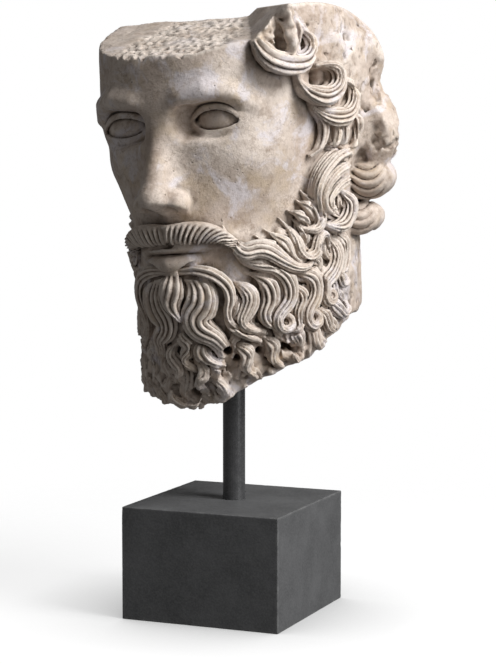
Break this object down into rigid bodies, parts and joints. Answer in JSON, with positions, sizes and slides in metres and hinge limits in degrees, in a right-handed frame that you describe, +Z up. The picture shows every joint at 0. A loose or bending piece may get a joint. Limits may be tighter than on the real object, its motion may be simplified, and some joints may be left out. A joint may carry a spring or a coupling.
{
  "type": "roman emperor bust fragment on a plinth",
  "caption": "Over-life-size bearded stone head, broken off at crown, back and neck, held upright by a steel rod on a stone block.",
  "frame": {"origin": "middle of the block's underside, on the surface it stands on", "axes": "+Z up along the rod, -Y out of the block's front face, +X to the right of someone looking at that face"},
  "size_m": [0.246, 0.2468, 0.5407],
  "materials": {
    "marble": "weathered carved marble, matt, with dirt in the hollows",
    "steel": "satin black",
    "slate": "honed dark grey stone"
  },
  "bodies": {
    "root": {"head": "marble", "rod": "steel", "plinth": "slate"}
  },
  "joints": []
}
